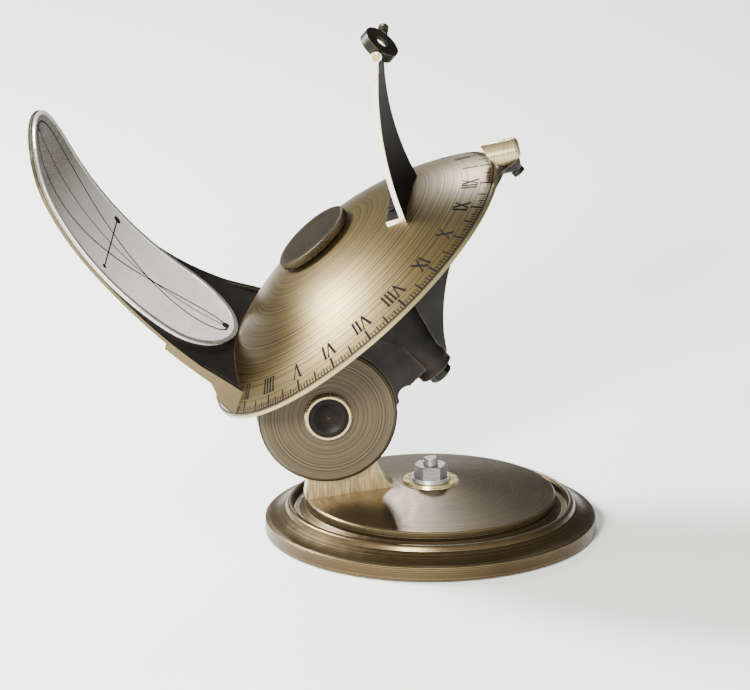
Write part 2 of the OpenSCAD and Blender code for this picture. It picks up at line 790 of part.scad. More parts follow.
module lens_retainer() {
    color("#6d675a") ring_frame() difference() {
        along_x(lens_r, lens_back - seat - retainer_t, lens_back - seat);
        along_x(lens_r - retainer_w, -cell_t, cell_t);
    }
}

knob_neck = vane_top_w + slide;

module ring_knob() {
    color("#4b4230") ring_frame() {
        along_y(pivot_r, cell_r - pivot_depth, knob_neck + 1);
        along_y(pivot_r + 0.6, knob_neck, knob_neck + 2);
        along_y(2.7, knob_neck + 2, knob_neck + 5.4);
        translate([0, knob_neck + 5.4, 0]) rotate([-90, 0, 0]) cylinder(r1 = 2.7, r2 = 2.2, h = 0.5);
    }
}

// Time plate

// Half width of the plate at an angle, with round ends; inset narrows it all round
function plate_half(a, inset = 0) = let (end = plate_span - inset / plate_bend * 180 / PI,
    w = plate_w - inset, reach = w / plate_bend * 180 / PI, over = max(0, abs(a) - end + reach) / reach)
    w * sqrt(max(0, 1 - over * over)) * (1 - 0.06 * pow(a / plate_span, 2));

// Angles that are closer together near the round ends
function plate_angle(i, steps, end) = end * sin(90 * (2 * i / steps - 1));

// The tongue outline seen along x, swept through the curved sheet
module plate_outline(inset = 0) {
    steps = 36;
    end = plate_span - inset / plate_bend * 180 / PI;
    angles = [for (i = [0:steps]) plate_angle(i, steps, end)];
    translate([-2 * rim_r, 0, lens_z]) rotate([90, 0, 90]) linear_extrude(2 * rim_r) polygon(concat(
        [for (a = angles) [plate_half(a, inset), plate_bend * sin(a)]],
        [for (i = [steps - 1:-1:1]) [-plate_half(angles[i], inset), plate_bend * sin(angles[i])]]));
}

// A sheet bent around the line through the lens
module bent_sheet(inner, outer) {
    translate([lens_x, 0, lens_z]) difference() {
        along_y(outer, -rim_r, rim_r);
        along_y(inner, -rim_r - cut, rim_r + cut);
    }
}

// Half width of the arm: the plate's outline and a narrow edge above, a growing flare below
function arm_half(a) = a > 0 ? plate_half(a * plate_span / arm_end) + arm_edge
    : plate_w * (1 - 0.06 * pow(a / plate_span, 2)) + arm_edge + arm_flare * pow(-a / 28, 1.65);
arm_end = plate_span + arm_edge / plate_bend * 180 / PI;
arm_low = -33;
arm_face = plate_bend + plate_t;
bar_w = 5;
end_t = 3;
end_mid = 7.2;
end_out = 16;

module arm_outline(inset = 0) {
    steps = 18;
    upper = [for (i = [1:steps]) arm_end * sin(90 * i / steps)];
    lower = [for (i = [0:steps]) arm_low * (1 - i / steps)];
    angles = concat(lower, inset > 0 ? [] : upper);
    last = len(angles) - 1;
    translate([-2 * rim_r, 0, lens_z]) rotate([90, 0, 90]) linear_extrude(2 * rim_r) polygon(concat(
        [for (a = angles) [arm_half(a) - inset, plate_bend * sin(a)]],
        [for (i = [last:-1:0]) [-arm_half(angles[i]) + inset, plate_bend * sin(angles[i])]]));
}

// The space below a slanting plane through the lens
module below(angle) {
    size = 2 * plate_bend;
    translate([lens_x, 0, lens_z]) rotate([0, -angle, 0]) translate([-size, -size / 2, -size]) cube(size);
}

// A place in the arm's side view, at a distance from the lens and an angle below it
function on_bend(r, a) = [lens_x - r * cos(a), lens_z - r * sin(a)];

module plate_arm() {
    color("#2f2a1f") alidade_frame() difference() {
        union() {
            intersection() {
                bent_sheet(arm_face + seat, arm_face + arm_t);
                arm_outline();
            }
            intersection() {
                bent_sheet(arm_face + seat, arm_face + foot_t);
                arm_outline();
                inside_sphere(dome_r + foot_flange);
            }
            intersection() {
                bent_sheet(arm_face + seat, arm_face + arm_t + bar_t);
                arm_outline();
                below(bar_angle);
                arm_rim(bar_w);
            }
            intersection() {
                rotate([90, 0, 0]) linear_extrude(2 * rim_r, center = true) polygon([
                    on_bend(arm_face + 0.5, 20), on_bend(arm_face + arm_t + bar_t, 23.5),
                    on_bend(arm_face + end_mid, 24.9), on_bend(arm_face + end_out, 26.2),
                    on_bend(arm_face + end_out, -arm_low), on_bend(arm_face + 0.5, -arm_low)]);
                arm_outline();
                cylinder(r = rim_r - 0.6, h = plate_w);
                arm_rim(end_t);
            }
        }
        inside_sphere(dome_r + seat);
        for (y = arm_screw_y) on_dome(arm_screw_x(y), y) foot_bore();
        for (a = plate_screw_a) plate_screw_bore(a);
    }
}

// The two strips along the arm's side edges
module arm_rim(width) {
    for (side = [0, 1]) mirror([0, side, 0]) difference() {
        translate([-2 * rim_r, 0, -rim_r]) cube([2 * rim_r, rim_r, 3 * rim_r]);
        arm_outline(width);
    }
}

// Place of a foot screw: on the dome, in the middle of the flange behind the arm
foot_mid = arm_face + (arm_t + foot_t) / 2;
lens_from = sqrt(lens_x * lens_x + pow(lens_z - dome_c, 2));
function arm_screw_x(y) = let (section = dome_r * dome_r - y * y,
    along = (section - foot_mid * foot_mid + lens_from * lens_from) / (2 * lens_from))
    (along * lens_x - sqrt(section - along * along) * (lens_z - dome_c)) / lens_from;

module arm_screws() {
    color("#6d675a") alidade_frame() for (y = arm_screw_y) on_dome(arm_screw_x(y), y)
        translate([0, 0, foot_flange + seat]) screw(foot_flange + 1.6, 1.5, 2.4, 1.5);
}

module on_plate(a) {
    translate([lens_x, 0, lens_z]) rotate([0, -90 + a, 0])
        translate([0, 0, plate_bend]) rotate([0, 180, 0]) children();
}

plate_screw_r = 1;
plate_screw_a = [2 - plate_span, plate_span - 2];

module plate_screw_bore(a) {
    on_plate(a) translate([0, 0, -plate_t - arm_t - cut])
        cylinder(r = plate_screw_r + seat, h = plate_t + arm_t + 2 * cut);
}

module analemma_plate() {
    color("#d9cda4") alidade_frame() difference() {
        intersection() {
            bent_sheet(plate_bend, plate_bend + plate_t);
            plate_outline();
        }
        for (a = plate_screw_a) plate_screw_bore(a);
    }
}

module plate_frame() {
    color("#cdbb88") alidade_frame() difference() {
        intersection() {
            bent_sheet(plate_bend - frame_h, plate_bend);
            plate_outline();
        }
        plate_outline(frame_w);
    }
}

module plate_screws() {
    color("#4b4230") alidade_frame() for (a = plate_screw_a) on_plate(a)
        translate([0, 0, seat]) screw(plate_t + arm_t - 0.4, plate_screw_r, 1.8, 0.7);
}

base_plate();
centre_stud();
turntable();
azimuth_bush();
foot_bracket();
foot_screws();
clamp_washer();
clamp_collar();
clamp_nut();
hinge_washers();
hinge_bolt();
hinge_nut();
tilt_ring();
tilt_cap();
polar_head();
upper_bush();
lower_bush();
index_arm();
index_arm_screws();
index_stub();
index_stub_screw();
polar_spindle();
spindle_washer();
spindle_nut();
dial_carrier();
dial_dome();
dial_knob();
sight_vane();
vane_screws();
pivot_screw();
lens_ring();
lens();
lens_retainer();
ring_knob();
plate_arm();
arm_screws();
analemma_plate();
plate_frame();
plate_screws();
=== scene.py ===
"""A heliochronometer: an equatorial sun clock on a turntable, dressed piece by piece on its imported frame.

Metres, +Z up, the origin under the turntable's axis. The dial's axis leans towards -X.
"""
import bmesh
import bpy
import numpy as np
from mathutils import Matrix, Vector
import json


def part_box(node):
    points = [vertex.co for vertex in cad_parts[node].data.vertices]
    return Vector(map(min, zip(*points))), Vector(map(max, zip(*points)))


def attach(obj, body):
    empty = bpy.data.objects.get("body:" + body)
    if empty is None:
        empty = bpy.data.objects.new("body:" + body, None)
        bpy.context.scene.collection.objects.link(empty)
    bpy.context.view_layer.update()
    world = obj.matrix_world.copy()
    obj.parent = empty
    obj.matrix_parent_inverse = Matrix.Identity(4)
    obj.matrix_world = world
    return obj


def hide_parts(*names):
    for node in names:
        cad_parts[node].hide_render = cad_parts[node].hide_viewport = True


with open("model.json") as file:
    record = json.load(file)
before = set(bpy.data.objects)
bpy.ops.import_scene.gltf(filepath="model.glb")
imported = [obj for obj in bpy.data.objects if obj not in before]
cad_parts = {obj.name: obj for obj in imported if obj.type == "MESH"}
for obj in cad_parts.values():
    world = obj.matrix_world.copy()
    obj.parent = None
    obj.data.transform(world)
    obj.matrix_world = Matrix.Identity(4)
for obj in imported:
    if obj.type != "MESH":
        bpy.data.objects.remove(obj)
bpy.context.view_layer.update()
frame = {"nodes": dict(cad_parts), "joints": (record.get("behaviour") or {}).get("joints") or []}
nodes = frame["nodes"]
joints = {joint["name"]: joint for joint in frame["joints"]}
MM = 0.001


# Axes that the finishes follow, each a centre and the turn that brings z onto it. The dial's own frame has
# the rows u (to its raised side), v and n (to the pole). Lens and time plate stand 15 degrees off, so their
# rows are turned about n.
HINGE = np.array(joints["latitude_tilt"]["pos_m"])
CENTRE = np.array(joints["hour_turn"]["pos_m"])
n = np.array(joints["hour_turn"]["axis"])
v = np.array([0, 1, 0])
u = np.cross(v, n)
DIAL_ROWS = np.array([u, v, n])
HOUR_ANGLE = np.radians(15)
ahead = np.cos(HOUR_ANGLE) * u - np.sin(HOUR_ANGLE) * v
sideways = np.sin(HOUR_ANGLE) * u + np.cos(HOUR_ANGLE) * v
LATITUDE = np.degrees(np.arctan2(n[2], -n[0]))
POLAR_TILT = (0, np.radians(LATITUDE - 90), 0)
UPRIGHT_AXIS = ((0, 0, 0), (0, 0, 0))
HINGE_AXIS = (tuple(HINGE), (np.radians(90), 0, 0))
POLAR_AXIS = (tuple(CENTRE), POLAR_TILT)


# Shader building blocks, shared by all finishes.
def linear(code):
    """An sRGB hex colour as linear RGBA: c / 12.92 below 0.04045, else ((c + 0.055) / 1.055) ** 2.4."""
    c = np.array([int(code[i:i + 2], 16) for i in (1, 3, 5)]) / 255
    c = np.where(c <= 0.04045, c / 12.92, ((c + 0.055) / 1.055) ** 2.4)
    return (*c.tolist(), 1)


def add(tree, kind, inputs=None, **settings):
    """Adds one node: settings are its properties, inputs maps a socket to a value or to a node's socket."""
    node = tree.nodes.new(kind)
    for key, value in settings.items():
        setattr(node, key, value)
    for key, value in (inputs or {}).items():
        if isinstance(value, bpy.types.NodeSocket):
            tree.links.new(value, node.inputs[key])
        else:
            node.inputs[key].default_value = linear(value) if isinstance(value, str) else value
    return node


def new_tree(name):
    """A material with an empty node tree."""
    material = bpy.data.materials.new(name)
    material.use_nodes = True
    material.node_tree.nodes.clear()
    return material, material.node_tree


def shade(tree, inputs):
    """Ends a material's tree with a principled shader, given by its inputs."""
    shader = add(tree, "ShaderNodeBsdfPrincipled", inputs)
    add(tree, "ShaderNodeOutputMaterial", {"Surface": shader.outputs[0]})


def coordinate(tree, kind):
    """The texture coordinate of one kind: Object, Normal or Generated."""
    return add(tree, "ShaderNodeTexCoord").outputs[kind]


def number(tree, operation, *values):
    """The result of an operation on numbers."""
    return add(tree, "ShaderNodeMath", dict(enumerate(values)), operation=operation).outputs[0]


def dot(tree, first, second):
    """The dot product of two vectors."""
    return add(tree, "ShaderNodeVectorMath", {0: first, 1: second}, operation="DOT_PRODUCT").outputs["Value"]


def scaled(tree, vector, factors):
    """A vector with each part multiplied by its own factor."""
    return add(tree, "ShaderNodeVectorMath", {0: vector, 1: factors}, operation="MULTIPLY").outputs[0]


def spread(tree, value, low, high, to_low=0.0, to_high=1.0):
    """Stretches the range low..high of a value to to_low..to_high, and holds it there beyond."""
    return add(tree, "ShaderNodeMapRange", {"Value": value, "From Min": low, "From Max": high,
                                            "To Min": to_low, "To Max": to_high}).outputs["Result"]


def blend_value(tree, factor, first, second):
    """The first value where factor is 0, the second where it is 1."""
    return add(tree, "ShaderNodeMix", {0: factor, 2: first, 3: second}, data_type="FLOAT").outputs[0]


def blend_colour(tree, factor, first, second):
    """The first colour where factor is 0, the second where it is 1."""
    return add(tree, "ShaderNodeMix", {0: factor, 6: first, 7: second}, data_type="RGBA").outputs[2]


def two_tone(tree, marks, dark, light, low=0.35, high=0.65):
    """The dark colour where marks are below low, the light one where they are above high."""
    return blend_colour(tree, spread(tree, marks, low, high), dark, light)


def local_place(tree, axis):
    """The place in an axis's own frame, with z along it."""
    centre, tilt = axis
    return add(tree, "ShaderNodeMapping", {"Vector": coordinate(tree, "Object"), "Location": centre,
                                           "Rotation": tilt}, vector_type="TEXTURE").outputs[0]


def about_axis(tree, axis):
    """The radius from an axis, and the height along it."""
    local = local_place(tree, axis)
    flat = scaled(tree, local, (1, 1, 0))
    radius = add(tree, "ShaderNodeVectorMath", {0: flat}, operation="LENGTH").outputs["Value"]
    return radius, add(tree, "ShaderNodeSeparateXYZ", {0: local}).outputs["Z"]


def lathe_marks(tree, axis, ring):
    """Rings left by the tool: noise of (r - z) / ring, with r and z measured from the turning axis."""
    along = number(tree, "SUBTRACT", *about_axis(tree, axis))
    return add(tree, "ShaderNodeTexNoise", {"W": along, "Scale": 1 / ring, "Detail": 3, "Roughness": 0.65},
               noise_dimensions="1D").outputs["Fac"]


def strokes_along(tree, place, stretch):
    """Strokes of a file or brush: noise whose scale along x, y and z is stretch, per metre."""
    return add(tree, "ShaderNodeTexNoise", {"Vector": scaled(tree, place, stretch), "Scale": 1.0,
                                            "Detail": 3}).outputs["Fac"]


def patches(tree, size, detail=4):
    """Cloudy patches of a given size, as lacquer and patina have."""
    return add(tree, "ShaderNodeTexNoise", {"Vector": coordinate(tree, "Object"), "Scale": 1 / size,
                                            "Detail": detail}).outputs["Fac"]


def clouded(tree, size, dark, light):
    """Two shades in soft clouds of a given size."""
    return two_tone(tree, patches(tree, size), dark, light, 0.35, 0.7)


def stained(tree, body, colour, size, low, high, most):
    """A colour with stains of a given size: they cover it by up to most, where their noise is high."""
    return blend_colour(tree, spread(tree, patches(tree, size), low, high, 0.0, most), body, colour)


def worn(tree, body, bright, width):
    """A colour rubbed bright on its edges: where the normal rounded over width leaves the true one."""
    rounded = add(tree, "ShaderNodeBevel", {"Radius": width}, samples=4).outputs[0]
    same = dot(tree, rounded, add(tree, "ShaderNodeNewGeometry").outputs["Normal"])
    return blend_colour(tree, spread(tree, same, 0.985, 0.90), body, bright)


def metal(tree, colour, roughness, height, depth, bare=0.85, sheen=0.5):
    """The shader of a metal with a surface relief of a given depth. Bare is the share of it that is free of
    lacquer, tarnish or blacking, and sheen is how much that film mirrors."""
    relief = add(tree, "ShaderNodeBump", {"Height": height, "Distance": depth, "Strength": 1.0}).outputs[0]
    shade(tree, {"Base Color": colour, "Metallic": bare, "Roughness": roughness, "Specular IOR Level": sheen,
                 "Normal": relief})


def turned(name, light, dark, bright, axis, ring, depth, rough, wear=0.4 * MM):
    """A turned metal: rings of light and dark, browner in patches, and bright on its edges."""
    material, tree = new_tree(name)
    marks = lathe_marks(tree, axis, ring)
    body = stained(tree, two_tone(tree, marks, dark, light), dark, 30 * MM, 0.45, 0.75, 0.45)
    smear = spread(tree, patches(tree, 4 * MM), 0.3, 0.7, rough - 0.04, rough + 0.05)
    metal(tree, worn(tree, body, bright, wear), smear, marks, depth)
    return material


def dress(material, *names):
    """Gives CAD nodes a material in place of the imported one."""
    for name in names:
        nodes[name].data.materials.clear()
        nodes[name].data.materials.append(material)


# Shape building blocks, for the pieces that the CAD model leaves plain.
def put(name, data):
    """A new object in the scene."""
    item = bpy.data.objects.new(name, data)
    bpy.context.scene.collection.objects.link(item)
    return item


def placed(x_axis, y_axis, z_axis, origin):
    """The matrix of an object whose own axes point along the three given, with its origin at a place."""
    matrix = np.eye(4)
    matrix[:3] = np.stack([x_axis, y_axis, z_axis, origin], axis=-1)
    return Matrix(matrix.tolist())


def solid_piece(name, points, faces, smooth_angle=35):
    """A mesh object from points and faces, its faces turned outwards and smooth below smooth_angle."""
    mesh = bpy.data.meshes.new(name)
    mesh.from_pydata(np.asarray(points).tolist(), [], faces)
    work = bmesh.new()
    work.from_mesh(mesh)
    bmesh.ops.recalc_face_normals(work, faces=work.faces)
    work.to_mesh(mesh)
    work.free()
    mesh.polygons.foreach_set("use_smooth", np.ones(len(mesh.polygons), dtype=bool))
    mesh.set_sharp_from_angle(angle=np.radians(smooth_angle))
    return put(name, mesh)


def round_piece(name, radii, heights, origin=(0, 0, 0), axes=np.eye(3)):
    """A closed turned surface: the point (i, j) lies at radius r_ij, angle 2 pi j / m and height z_ij from
    origin, in the frame whose rows are axes; a point on the axis closes each end."""
    rows, m = radii.shape
    angle = np.linspace(0, 2 * np.pi, m, endpoint=False)
    heights = np.broadcast_to(heights, radii.shape)
    points = np.stack([radii * np.cos(angle), radii * np.sin(angle), heights], axis=-1).reshape(-1, 3)
    poles = np.array([[0, 0, heights[0].mean()], [0, 0, heights[-1].mean()]])
    points = np.concatenate([points, poles]) @ np.asarray(axes) + origin
    index = np.arange(rows * m).reshape(rows, m)
    beside = np.roll(index, -1, axis=1)
    quads = np.stack([index[:-1], beside[:-1], beside[1:], index[1:]], axis=-1).reshape(-1, 4)
    first = np.stack([beside[0], index[0], np.full(m, rows * m)], axis=-1)
    last = np.stack([index[-1], beside[-1], np.full(m, rows * m + 1)], axis=-1)
    return solid_piece(name, points, quads.tolist() + first.tolist() + last.tolist())


def join(piece, material, body):
    """Finishes a new piece: its material, and the body that it rides on."""
    piece.data.materials.append(material)
    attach(piece, body)


# The view, the floor and the light. The long lens gives the even, almost parallel view of the photograph,
# and the softboxes stand where the bright patches on dome, turntable and bars ask for them.
AZIMUTH, ELEVATION = np.radians(-4.8), np.radians(18.1)
LENS, SENSOR, FRAME_WIDTH = 800, 36, 375 * MM
AIM_RIGHT, AIM_UP = -27.7 * MM, 92.2 * MM
right = np.array([np.cos(AZIMUTH), np.sin(AZIMUTH), 0])
up = np.array([-np.sin(AZIMUTH) * np.sin(ELEVATION), np.cos(AZIMUTH) * np.sin(ELEVATION), np.cos(ELEVATION)])
back = np.cross(right, up)

lens_data = bpy.data.cameras.new("long lens")
lens_data.lens, lens_data.sensor_width = LENS, SENSOR
lens_data.clip_start, lens_data.clip_end = 0.1, 200
camera = put("camera", lens_data)
camera_place = right * AIM_RIGHT + up * AIM_UP + back * FRAME_WIDTH / SENSOR * LENS
camera.matrix_world = placed(right, up, back, camera_place)
bpy.context.scene.camera = camera

FLOOR_HALF, FLOOR_DROP = 40, 0.2 * MM
floor_corners = [(x * FLOOR_HALF, y * FLOOR_HALF, -FLOOR_DROP)
                 for x, y in ((-1, -1), (1, -1), (1, 1), (-1, 1))]
floor_mesh = bpy.data.meshes.new("floor")
floor_mesh.from_pydata(floor_corners, [], [(0, 1, 2, 3)])
floor = put("floor", floor_mesh)
paper, tree = new_tree("matt white card")
shade(tree, {"Base Color": "#f8f7f4", "Roughness": 0.9})
floor_mesh.materials.append(paper)

# The studio is light in front and dim behind, so the metals that mirror its back wall stay dark
BACK_WALL, IN_FRONT, BEHIND = (0.25, 0.95, 0.1), 1.3, 0.12
world = bpy.data.worlds.new("studio")
world.use_nodes = True
tree = world.node_tree
glow = spread(tree, dot(tree, coordinate(tree, "Generated"), BACK_WALL), -0.3, 0.35, IN_FRONT, BEHIND)
backdrop = tree.nodes["Background"]
backdrop.inputs["Color"].default_value = linear("#f6f5f2")
tree.links.new(glow, backdrop.inputs["Strength"])
bpy.context.scene.world = world

DIAL_HEIGHT = 130 * MM
# name, direction from the dial, distance, width, power
for name, towards, distance, width, power in (
        ("left softbox", (-0.80, 0.36, 0.48), 1.2, 0.4, 60),
        ("rear softbox", (-0.02, 0.86, 0.50), 1.5, 0.2, 9),
        ("key softbox", (-0.30, -0.80, 0.35), 1.7, 0.3, 72)):
    data = bpy.data.lights.new(name, "AREA")
    data.shape, data.size, data.energy = "DISK", width, power
    z_axis = np.array(towards) / np.linalg.norm(towards)
    x_axis = np.cross((0, 0, 1), z_axis)
    x_axis /= np.linalg.norm(x_axis)
    lamp_place = z_axis * distance + (0, 0, DIAL_HEIGHT)
    put(name, data).matrix_world = placed(x_axis, np.cross(z_axis, x_axis), z_axis, lamp_place)


# Base plate and turntable: two brass castings turned on the lathe and lacquered. The tool leaves fine rings,
# which draw each light out into a bright bar from the axis to the rim, and the lacquer has browned.
turned_brass = turned("turned brass, browned lacquer", "#64553a", "#33291a", "#c4b284",
                      UPRIGHT_AXIS, 0.9 * MM, 0.02 * MM, 0.34)
dress(turned_brass, "base_plate", "turntable")


# Centre stud and clamp nut: an M8 class steel stud, screwed into the base, with a hexagon nut on it, a
# turned collar and a wide brass washer. The stud's thread is cut, 1.25 mm to a turn.
PITCH, THREAD_DEPTH, CHAMFER = 1.25 * MM, 0.55 * MM, 0.8 * MM
ROWS_A_TURN, THREAD_SIDES = 8, 48
stud_low, stud_high = (np.array(corner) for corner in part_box("centre_stud"))
STUD_R = (stud_high[0] - stud_low[0]) / 2
z = np.arange(stud_low[2], stud_high[2], PITCH / ROWS_A_TURN)
z[-1] = stud_high[2]
angle = np.linspace(0, 2 * np.pi, THREAD_SIDES, endpoint=False)
turns = z[:, None] / PITCH - angle / (2 * np.pi)
groove = np.abs(2 * (turns - np.floor(turns)) - 1)
radii = STUD_R - THREAD_DEPTH * (1 - groove)
end = np.minimum(z - stud_low[2], stud_high[2] - z)[:, None]
radii = np.minimum(radii, STUD_R - CHAMFER + end)
stud = round_piece("threaded_stud", radii, z[:, None])
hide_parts("centre_stud")

steel_parts = {name: turned("turned steel, " + name, "#b3b1ab", "#7b7973", "#dcdad4",
                            axis, 0.8 * MM, 0.015 * MM, 0.34)
               for name, axis in (("upright", UPRIGHT_AXIS), ("polar", POLAR_AXIS), ("hinge", HINGE_AXIS))}
join(stud, steel_parts["upright"], "base")
dress(steel_parts["upright"], "clamp_nut", "clamp_collar", "foot_screws")
bright_washer = turned("turned brass, polished", "#d3c08e", "#94804f", "#efe0b4",
                       UPRIGHT_AXIS, 0.8 * MM, 0.012 * MM, 0.26)
dress(bright_washer, "clamp_washer")


# Bushes and friction washers: bearing bronze, redder than the brass, turned and left oily.
bearing_bronze = turned("bearing bronze, oiled", "#8a6a40", "#57401f", "#bd9964",
                        UPRIGHT_AXIS, 0.9 * MM, 0.012 * MM, 0.3)
dress(bearing_bronze, "azimuth_bush", "hinge_washers", "upper_bush", "lower_bush", "dial_carrier")


# Foot bracket: a brass web, cast and then filed bright on its flat sides with long upright strokes.
FILE_STROKES = (1400, 1400, 110)
bracket_brass, tree = new_tree("filed brass")
scratches = strokes_along(tree, coordinate(tree, "Object"), FILE_STROKES)
body = worn(tree, two_tone(tree, scratches, "#84724a", "#b7a57c"), "#e2d3a8", 0.5 * MM)
metal(tree, body, 0.38, scratches, 0.02 * MM)
dress(bracket_brass, "foot_bracket")


# Latitude hinge: a steel bolt and nut, and in front a polished brass ring around a dark dished cap nut.
dress(steel_parts["hinge"], "hinge_bolt", "hinge_nut")
hinge_ring = turned("polished brass ring", "#cdbb8b", "#97845a", "#f0e3bd",
                    HINGE_AXIS, 0.7 * MM, 0.012 * MM, 0.26)
dress(hinge_ring, "tilt_ring")
cap_brass = turned("blackened brass, turned", "#211c16", "#0c0a08", "#5d523c",
                   HINGE_AXIS, 0.8 * MM, 0.02 * MM, 0.38)
dress(cap_brass, "tilt_cap")


# Polar head: a gunmetal casting with a dark patina. The skin keeps the grain of the moulding sand, the two
# round cheeks of the hinge are faced on the lathe, and the edges are rubbed bright.
CHEEK_FACE, CHEEK_R = 14.3 * MM, 35 * MM
CAST_DARK, CAST_LIGHT, CAST_WORN = "#100f0d", "#26231e", "#665a42"
CAST_CLOUDS, CAST_EDGE = 14 * MM, 0.6 * MM


def sand_grain(tree):
    """The skin of a sand casting: fine grains over slow swells."""
    return blend_value(tree, 0.3, patches(tree, 0.7 * MM, 2), patches(tree, 9 * MM, 2))


head_cast, tree = new_tree("gunmetal casting, faced cheeks")
from_hinge, across = about_axis(tree, HINGE_AXIS)
outside = spread(tree, number(tree, "ABSOLUTE", across), CHEEK_FACE - 0.5 * MM, CHEEK_FACE)
on_disc = spread(tree, from_hinge, CHEEK_R, CHEEK_R + 0.3 * MM, 1.0, 0.0)
faced = number(tree, "MULTIPLY", outside, on_disc)
rings = lathe_marks(tree, HINGE_AXIS, 0.8 * MM)
skin = clouded(tree, CAST_CLOUDS, CAST_DARK, CAST_LIGHT)
cheek = two_tone(tree, rings, "#2e281c", "#574d39")
body = worn(tree, blend_colour(tree, faced, skin, cheek), CAST_WORN, CAST_EDGE)
relief = blend_value(tree, faced, sand_grain(tree), rings)
metal(tree, body, blend_value(tree, faced, 0.5, 0.42), relief, 0.03 * MM,
      blend_value(tree, faced, 0.3, 0.2), 0.2)
dress(head_cast, "polar_head")


# Index arm: a casting like the head, without faced parts.
arm_cast, tree = new_tree("gunmetal casting")
body = worn(tree, clouded(tree, CAST_CLOUDS, CAST_DARK, CAST_LIGHT), CAST_WORN, CAST_EDGE)
metal(tree, body, 0.5, sand_grain(tree), 0.04 * MM, 0.3, 0.3)
dress(arm_cast, "index_arm")
dress(steel_parts["polar"], "index_arm_screws")


# Index stub: a bright brass bar beside the rim. The black line along it is what the hours are read against.
WAX_TOP, WAX_FOOT = 0.06, -0.3
wax, tree = new_tree("black engraving wax")
speckle = two_tone(tree, patches(tree, 1.5 * MM), "#060505", "#14120f", 0.4, 0.7)
shade(tree, {"Base Color": speckle, "Roughness": 0.8, "Specular IOR Level": 0.1})


def engrave(name, paths, width, surface, body, top=WAX_TOP, foot=WAX_FOOT, closed=False):
    """Black wax in engraved strokes. A path is a row of points (a, b) in mm on a surface. The stroke's four
    corners lie at p +- width / 2 times the tangent turned by 90 degrees, at the heights top and foot."""
    paths = np.asarray(paths, dtype=float)
    count, steps = paths.shape[:2]
    if closed:
        tangent = np.roll(paths, -1, axis=1) - np.roll(paths, 1, axis=1)
    else:
        tangent = np.gradient(paths, axis=1)
    tangent /= np.linalg.norm(tangent, axis=-1, keepdims=True)
    half = np.broadcast_to(np.asarray(width, dtype=float), (count,))[:, None, None] / 2
    side = np.stack([-tangent[..., 1], tangent[..., 0]], axis=-1) * half
    corners = np.stack([surface(paths + side, top), surface(paths - side, top),
                        surface(paths - side, foot), surface(paths + side, foot)], axis=2)
    index = np.arange(count * steps * 4).reshape(count, steps, 4)
    start, after = (index, np.roll(index, -1, axis=1)) if closed else (index[:, :-1], index[:, 1:])
    faces = np.stack([start, np.roll(start, -1, axis=2), np.roll(after, -1, axis=2), after], axis=-1)
    faces = faces.reshape(-1, 4).tolist()
    if not closed:
        faces += index[:, 0].tolist() + index[:, -1].tolist()
    join(solid_piece(name, corners.reshape(-1, 3), faces), wax, body)


STUB_R, STUB_REACH, STUB_DROP, STUB_SLOPE = 6.6, 106.0, 2.7, np.radians(30)
READING_FROM, READING_TO = 2.6, 11.0


def stub_place(points, height):
    """A point on the round stub: a runs back along it from its end, b round it from its top line."""
    a, b = points[..., 0], points[..., 1]
    radius = STUB_R + height
    turned_by = b / STUB_R
    lift = radius * np.cos(turned_by)
    x = STUB_REACH - a * np.cos(STUB_SLOPE) + lift * np.sin(STUB_SLOPE)
    z = -STUB_DROP + a * np.sin(STUB_SLOPE) + lift * np.cos(STUB_SLOPE)
    y = radius * np.sin(turned_by)
    return CENTRE + (np.stack([x, y, z], axis=-1) @ DIAL_ROWS) * MM


stub_brass = turned("brass bar, polished", "#cfc093", "#9c8c62", "#efe4bf",
                    POLAR_AXIS, 1.0 * MM, 0.012 * MM, 0.27)
dress(stub_brass, "index_stub")
reading = np.stack([np.linspace(READING_FROM, READING_TO, 8), np.zeros(8)], axis=-1)[None]
engrave("index_line", reading, 0.7, stub_place, "head", 0.08, -0.2)


# Spindle: turned steel. Its washer and nut close the lower end of the hub, and are blackened as the hub is.
black_steel = turned("blackened steel", "#2b2926", "#141311", "#6a665e",
                     POLAR_AXIS, 0.8 * MM, 0.015 * MM, 0.36)
dress(steel_parts["polar"], "polar_spindle")
dress(black_steel, "spindle_washer", "spindle_nut", "index_stub_screw")


# Dial dome: a brass shell turned in fine rings, its rim edge polished. The hours, the five minute strokes
# and the ring under them are engraved and filled with black wax. The rings show 1.3 mm apart.
RIM_R, DOME_H = 92.0, 30.0
DOME_R = (RIM_R ** 2 + DOME_H ** 2) / (2 * DOME_H)
RIM_ANGLE = np.arcsin(RIM_R / DOME_R)

dial_brass, tree = new_tree("dial brass, turned in rings")
marks = lathe_marks(tree, POLAR_AXIS, 1.3 * MM)
body = two_tone(tree, marks, "#372d18", "#73633d", 0.36, 0.62)
body = stained(tree, body, "#352b17", 45 * MM, 0.45, 0.8, 0.35)
facing = number(tree, "ABSOLUTE", dot(tree, coordinate(tree, "Normal"), tuple(n)))
rim_edge = spread(tree, facing, 0.55, 0.35)
body = blend_colour(tree, rim_edge, body, "#a3956b")
metal(tree, body, blend_value(tree, rim_edge, 0.36, 0.3), marks, 0.014 * MM)
dress(dial_brass, "dial_dome")


def dial_place(points, height):
    """A point on the dome: a is the arc in mm round the dial from u, measured at the rim, b the arc inwards
    from the rim. Its angle from the pole is RIM_ANGLE - b / R."""
    a, b = points[..., 0], points[..., 1]
    polar = RIM_ANGLE - b / DOME_R
    round_by = a / RIM_R
    radius = DOME_R + height
    x = radius * np.sin(polar) * np.cos(round_by)
    y = radius * np.sin(polar) * np.sin(round_by)
    z = radius * np.cos(polar) + DOME_H - DOME_R
    return CENTRE + (np.stack([x, y, z], axis=-1) @ DIAL_ROWS) * MM


